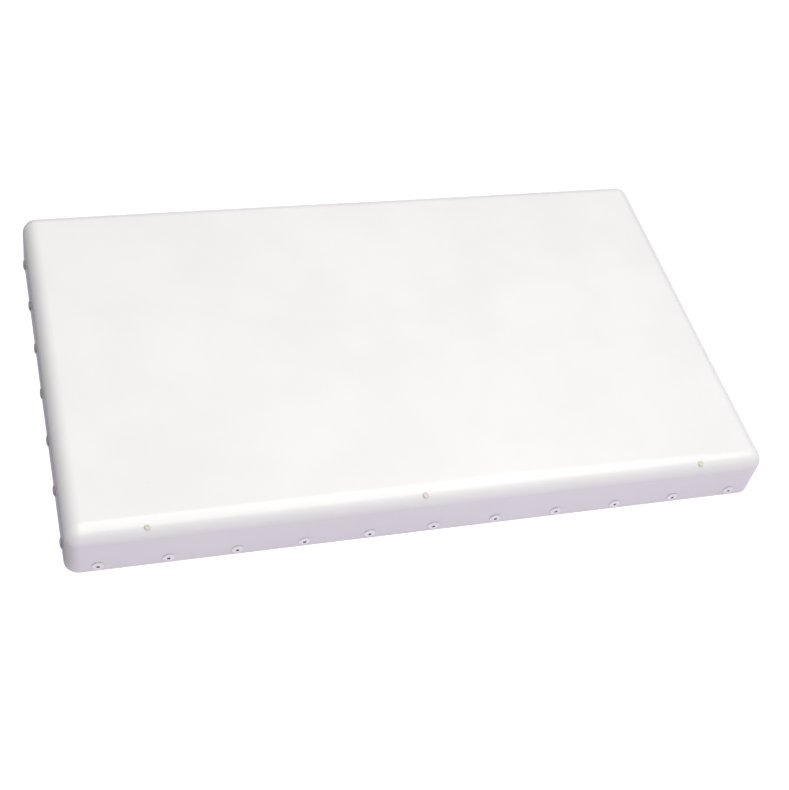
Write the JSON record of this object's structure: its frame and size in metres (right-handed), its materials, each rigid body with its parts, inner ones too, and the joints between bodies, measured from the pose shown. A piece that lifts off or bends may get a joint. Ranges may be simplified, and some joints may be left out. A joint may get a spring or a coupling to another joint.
{
  "type": "panel antenna",
  "caption": "Flat rectangular panel antenna: white moulded radome riveted round its rim to a recessed aluminium back plate, with rear rails, a threaded RF jack and a sealed patch array inside.",
  "frame": {"origin": "middle of the rear rim's plane, which is the bottom centre of the bounding box", "axes": "+Z out of the radome's face (boresight), X along the long side, -Y towards the long side that has the weep plugs and the jack"},
  "size_m": [0.6028, 0.3628, 0.048],
  "materials": {
    "radome_plastic": "gloss",
    "plate_metal": "mill finish sheet",
    "bar_metal": "mill finish bar",
    "sealant": "cured silicone",
    "rivet_metal": "satin",
    "mandrel_steel": "broken end, dull",
    "plug_plastic": "moulded",
    "rail_metal": "mill finish",
    "insert_steel": "zinc plated",
    "board_laminate": "laminate",
    "copper_track": "tinned copper",
    "nylon": "moulded",
    "contact_brass": "gold plated",
    "patch_metal": "mill finish",
    "screw_steel": "stainless",
    "jack_plate": "nickel plated brass",
    "gasket_rubber": "moulded",
    "ptfe": "turned",
    "vent_plastic": "moulded",
    "label_metal": "brushed, blank"
  },
  "bodies": {
    "root": {"radome": "radome_plastic", "back_plate": "plate_metal", "rim_bar_front": "bar_metal", "rim_bar_rear": "bar_metal", "rim_bar_left": "bar_metal", "rim_bar_right": "bar_metal", "seal_bead": "sealant", "rivets_front": "rivet_metal", "rivets_right": "rivet_metal", "rivets_rear": "rivet_metal", "rivets_left": "rivet_metal", "mandrels_front": "mandrel_steel", "mandrels_right": "mandrel_steel", "mandrels_rear": "mandrel_steel", "mandrels_left": "mandrel_steel", "weep_plugs": "plug_plastic", "rail_left": "rail_metal", "rail_right": "rail_metal", "rail_inserts": "insert_steel", "rail_rivets": "rivet_metal", "rail_mandrels": "mandrel_steel", "feed_board": "board_laminate", "feed_tracks": "copper_track", "board_standoffs": "rivet_metal", "patch_standoffs": "rivet_metal", "board_screws": "screw_steel", "patch_spacers_lower": "nylon", "patch_spacers_upper": "nylon", "patch_screws": "nylon", "feed_probes": "contact_brass", "driven_patches": "patch_metal", "parasitic_patches": "patch_metal", "fence_front": "patch_metal", "fence_rear": "patch_metal", "radome_props": "nylon", "jack_shell": "jack_plate", "jack_gasket": "gasket_rubber", "jack_insulator": "ptfe", "jack_contact": "contact_brass", "jack_screws": "screw_steel", "jack_nuts": "screw_steel", "breather_vent": "vent_plastic", "breather_nut": "vent_plastic", "rating_plate": "label_metal"}
  },
  "joints": []
}
